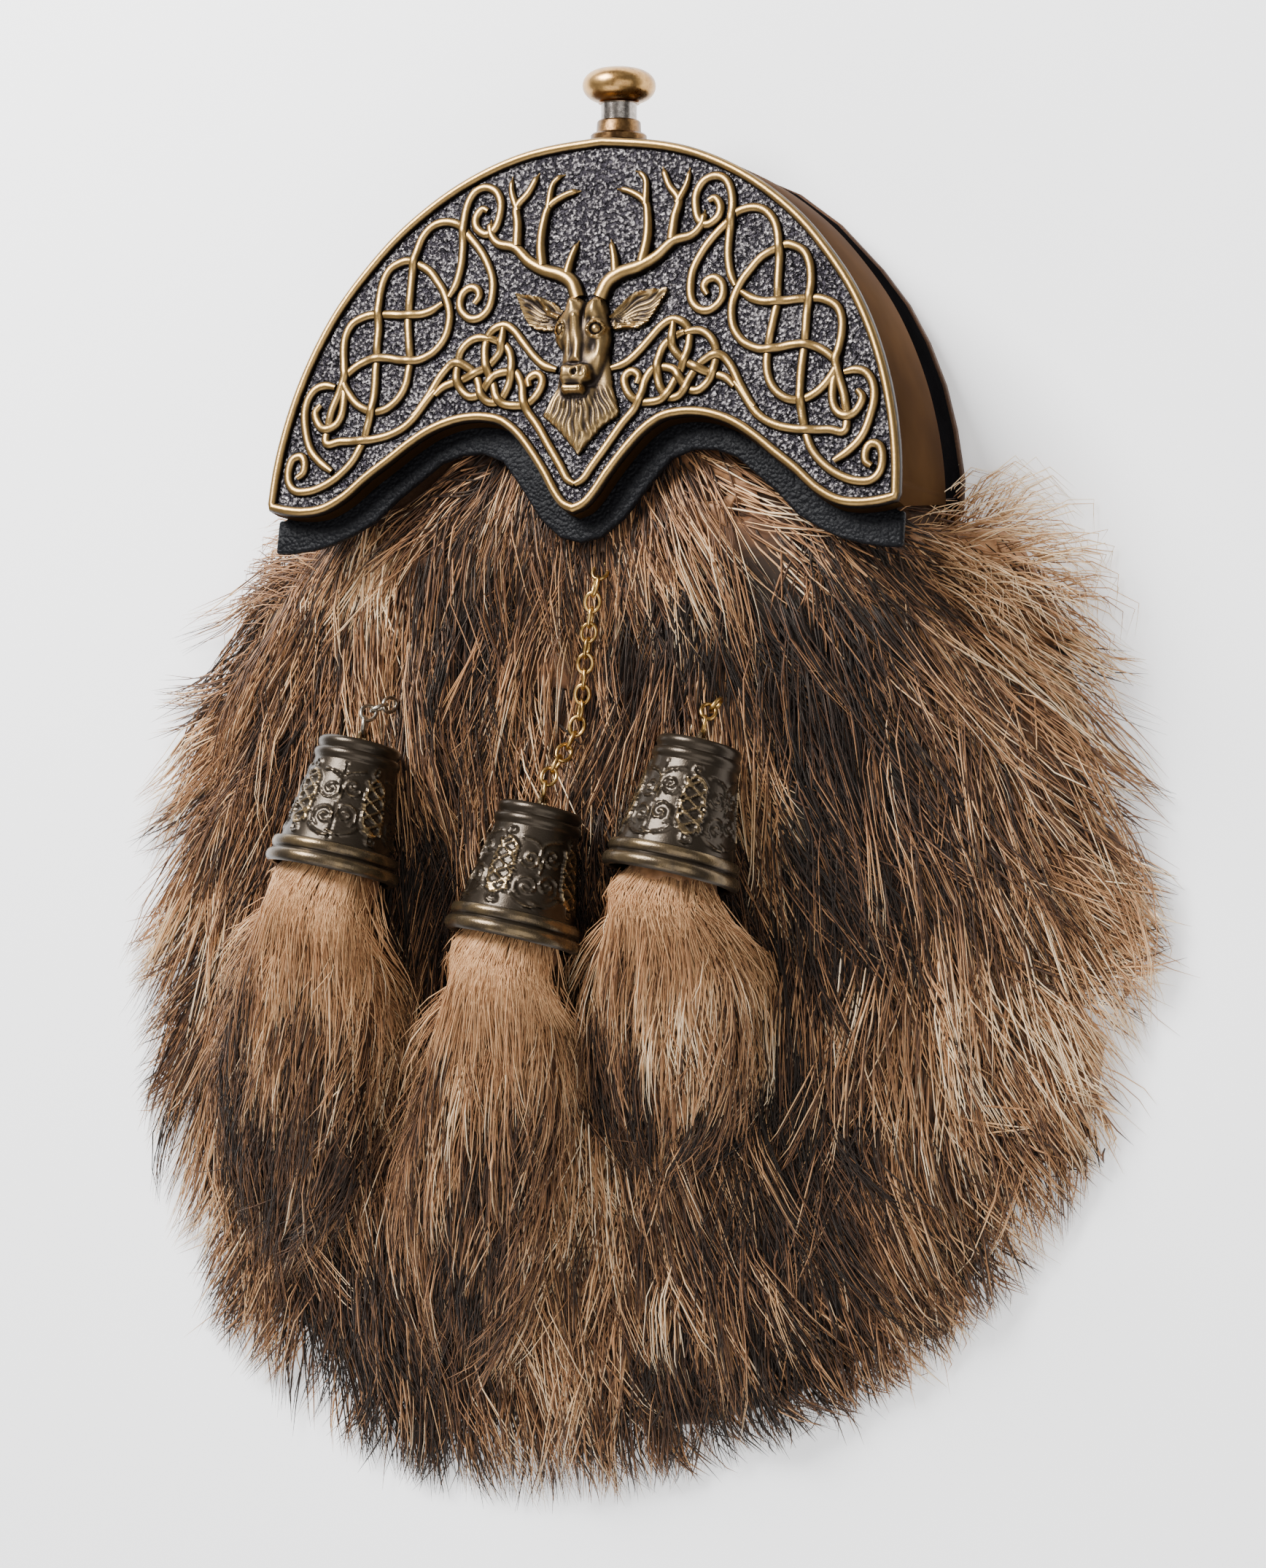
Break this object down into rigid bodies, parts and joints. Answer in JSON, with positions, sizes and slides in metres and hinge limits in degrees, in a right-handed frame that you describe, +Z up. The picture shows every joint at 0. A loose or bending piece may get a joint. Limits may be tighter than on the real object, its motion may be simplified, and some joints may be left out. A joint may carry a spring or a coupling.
{
  "type": "dress sporran pouch",
  "caption": "Hair-covered leather sporran pouch with an arched cast cantle of interlace and a stag's head, a sprung knob on top and chained tassels in cast bells.",
  "frame": {"origin": "middle of the part's bounding box, on the surface that it lies on", "axes": "+Z up from the surface, +Y towards the knob at the top of the cantle, +X to the right of someone who looks at the cantle's face"},
  "size_m": [0.2624, 0.317, 0.0762],
  "materials": {
    "antique_brass": "cast, antiqued dark in the recesses, satin on the raised work",
    "dark_brass": "cast, heavily antiqued, with bright edges",
    "polished_brass": "turned and polished",
    "chain_brass": "satin wire",
    "black_leather": "smooth dark leather",
    "trim_leather": "pebbled blue-black leather",
    "brown_leather": "plain brown leather",
    "fur": "long guard hair, dark with tan and pale tips",
    "tassel_hair": "tan and dark guard hair over a soft light undercoat"
  },
  "bodies": {
    "pouch": {"cantle": "antique_brass", "back_frame": "black_leather", "leather_trim": "trim_leather", "pouch_body": "brown_leather", "back_panel": "brown_leather", "fur_front": "fur", "knob_collar": "antique_brass", "cone_left": "dark_brass", "cone_middle": "dark_brass", "cone_right": "dark_brass", "chain_left": "chain_brass", "chain_middle": "chain_brass", "chain_right": "chain_brass", "tail_left": "tassel_hair", "tail_middle": "tassel_hair", "tail_right": "tassel_hair", "belt_loop_left": "black_leather", "belt_loop_right": "black_leather"},
    "knob": {"knob": "polished_brass"}
  },
  "joints": [
    {"name": "knob_press", "type": "slide", "parent": "pouch", "child": "knob", "axis": [0, -1, 0], "range_m": [0, 0.003], "stiffness_N_per_m": 400, "springref_m": -0.002}
  ]
}
